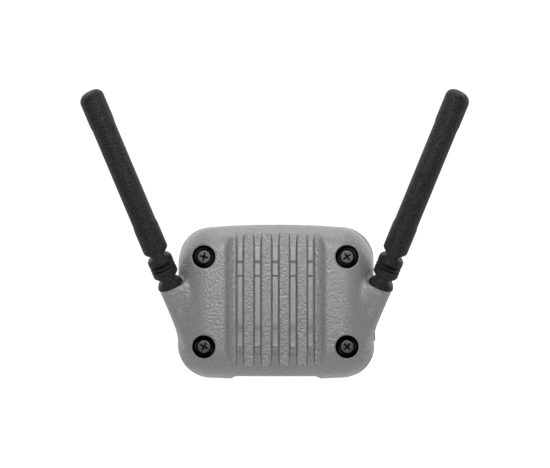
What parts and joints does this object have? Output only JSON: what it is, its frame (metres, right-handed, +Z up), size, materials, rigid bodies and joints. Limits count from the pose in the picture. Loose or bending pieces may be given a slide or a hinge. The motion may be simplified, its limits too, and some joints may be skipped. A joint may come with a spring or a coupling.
{
  "type": "dual antenna radio unit",
  "caption": "Rounded grey housing with a ribbed front panel, recessed cross-head cover screws and flexible rubber stub antennas standing in a V.",
  "frame": {"origin": "centre of the four-hole mounting pattern on the flat rear face", "axes": "+X to the right and +Z up as seen from the front; +Y points out of the rear face, so the ribbed front faces -Y"},
  "size_m": [0.1946, 0.061, 0.145],
  "materials": {
    "grey_coat": "grey powder coat with a fine pebble texture, satin",
    "black_steel": "black-finished steel, satin",
    "black_rubber": "black thermoplastic rubber, fine matt grain",
    "seal_rubber": "dark grey silicone, matt",
    "brass": "turned brass",
    "steel": "zinc-plated steel",
    "board": "green solder mask",
    "chip": "black moulded package",
    "can": "tin-plated sheet",
    "pad": "soft blue-grey thermal pad",
    "smoked": "smoked polycarbonate, polished",
    "led": "clear package",
    "nickel": "nickel-plated brass",
    "black_plastic": "black nylon, matt",
    "copper": "enamelled copper wire",
    "white_plastic": "natural glass-filled plastic",
    "cable": "black cable jacket",
    "leads": "red lead insulation"
  },
  "bodies": {
    "housing": {"front_housing": "grey_coat", "rear_cover": "grey_coat", "housing_gasket": "seal_rubber", "cover_screws": "black_steel", "screw_washers": "seal_rubber", "cover_screw_inserts": "brass", "mount_inserts": "brass", "main_board": "board", "board_screws": "steel", "radio_shield": "can", "radio_chips": "chip", "thermal_pad": "pad", "status_lens": "smoked", "status_leds": "led", "vent_plug": "black_plastic", "coax_sockets": "brass", "power_socket_shell": "nickel", "power_socket_insert": "black_plastic", "power_socket_contacts": "brass", "power_socket_nut": "nickel", "power_socket_seal": "seal_rubber", "board_header": "white_plastic", "wire_harness": "leads", "left_coax": "cable", "left_bushing": "brass", "left_antenna_stud": "brass", "left_antenna_base": "black_rubber", "right_coax": "cable", "right_bushing": "brass", "right_antenna_stud": "brass", "right_antenna_base": "black_rubber"},
    "left_neck_low": {"left_collar_lower": "black_rubber"},
    "left_neck_high": {"left_collar_upper": "black_rubber"},
    "left_mast": {"left_antenna_mast": "black_rubber", "left_tip_cap": "black_rubber", "left_former": "white_plastic", "left_radiator": "copper"},
    "right_neck_low": {"right_collar_lower": "black_rubber"},
    "right_neck_high": {"right_collar_upper": "black_rubber"},
    "right_mast": {"right_antenna_mast": "black_rubber", "right_tip_cap": "black_rubber", "right_former": "white_plastic", "right_radiator": "copper"}
  },
  "joints": [
    {"name": "left_side_bend_low", "type": "hinge", "parent": "housing", "child": "left_neck_low", "pos_m": [-0.05444, -0.02893, 0.01265], "axis": [0.0986, -0.9659, -0.2393], "range_deg": [-18, 18], "stiffness_Nm_per_rad": 0.3},
    {"name": "left_fore_bend", "type": "hinge", "parent": "left_neck_low", "child": "left_neck_high", "pos_m": [-0.05667, -0.0305, 0.01806], "axis": [0.9245, 0, 0.3811], "range_deg": [-8, 8], "stiffness_Nm_per_rad": 0.4},
    {"name": "left_side_bend_high", "type": "hinge", "parent": "left_neck_high", "child": "left_mast", "pos_m": [-0.05905, -0.03218, 0.02384], "axis": [0.0986, -0.9659, -0.2393], "range_deg": [-18, 18], "stiffness_Nm_per_rad": 0.04},
    {"name": "right_side_bend_low", "type": "hinge", "parent": "housing", "child": "right_neck_low", "pos_m": [0.05444, -0.02893, 0.01265], "axis": [0.0986, 0.9659, 0.2393], "range_deg": [-18, 18], "stiffness_Nm_per_rad": 0.3},
    {"name": "right_fore_bend", "type": "hinge", "parent": "right_neck_low", "child": "right_neck_high", "pos_m": [0.05667, -0.0305, 0.01806], "axis": [0.9245, 0, -0.3811], "range_deg": [-8, 8], "stiffness_Nm_per_rad": 0.4},
    {"name": "right_side_bend_high", "type": "hinge", "parent": "right_neck_high", "child": "right_mast", "pos_m": [0.05905, -0.03218, 0.02384], "axis": [0.0986, 0.9659, 0.2393], "range_deg": [-18, 18], "stiffness_Nm_per_rad": 0.04}
  ],
  "couplings": [
    {"joint": "left_side_bend_high", "follows": "left_side_bend_low", "ratio": 1},
    {"joint": "right_side_bend_high", "follows": "right_side_bend_low", "ratio": 1}
  ]
}
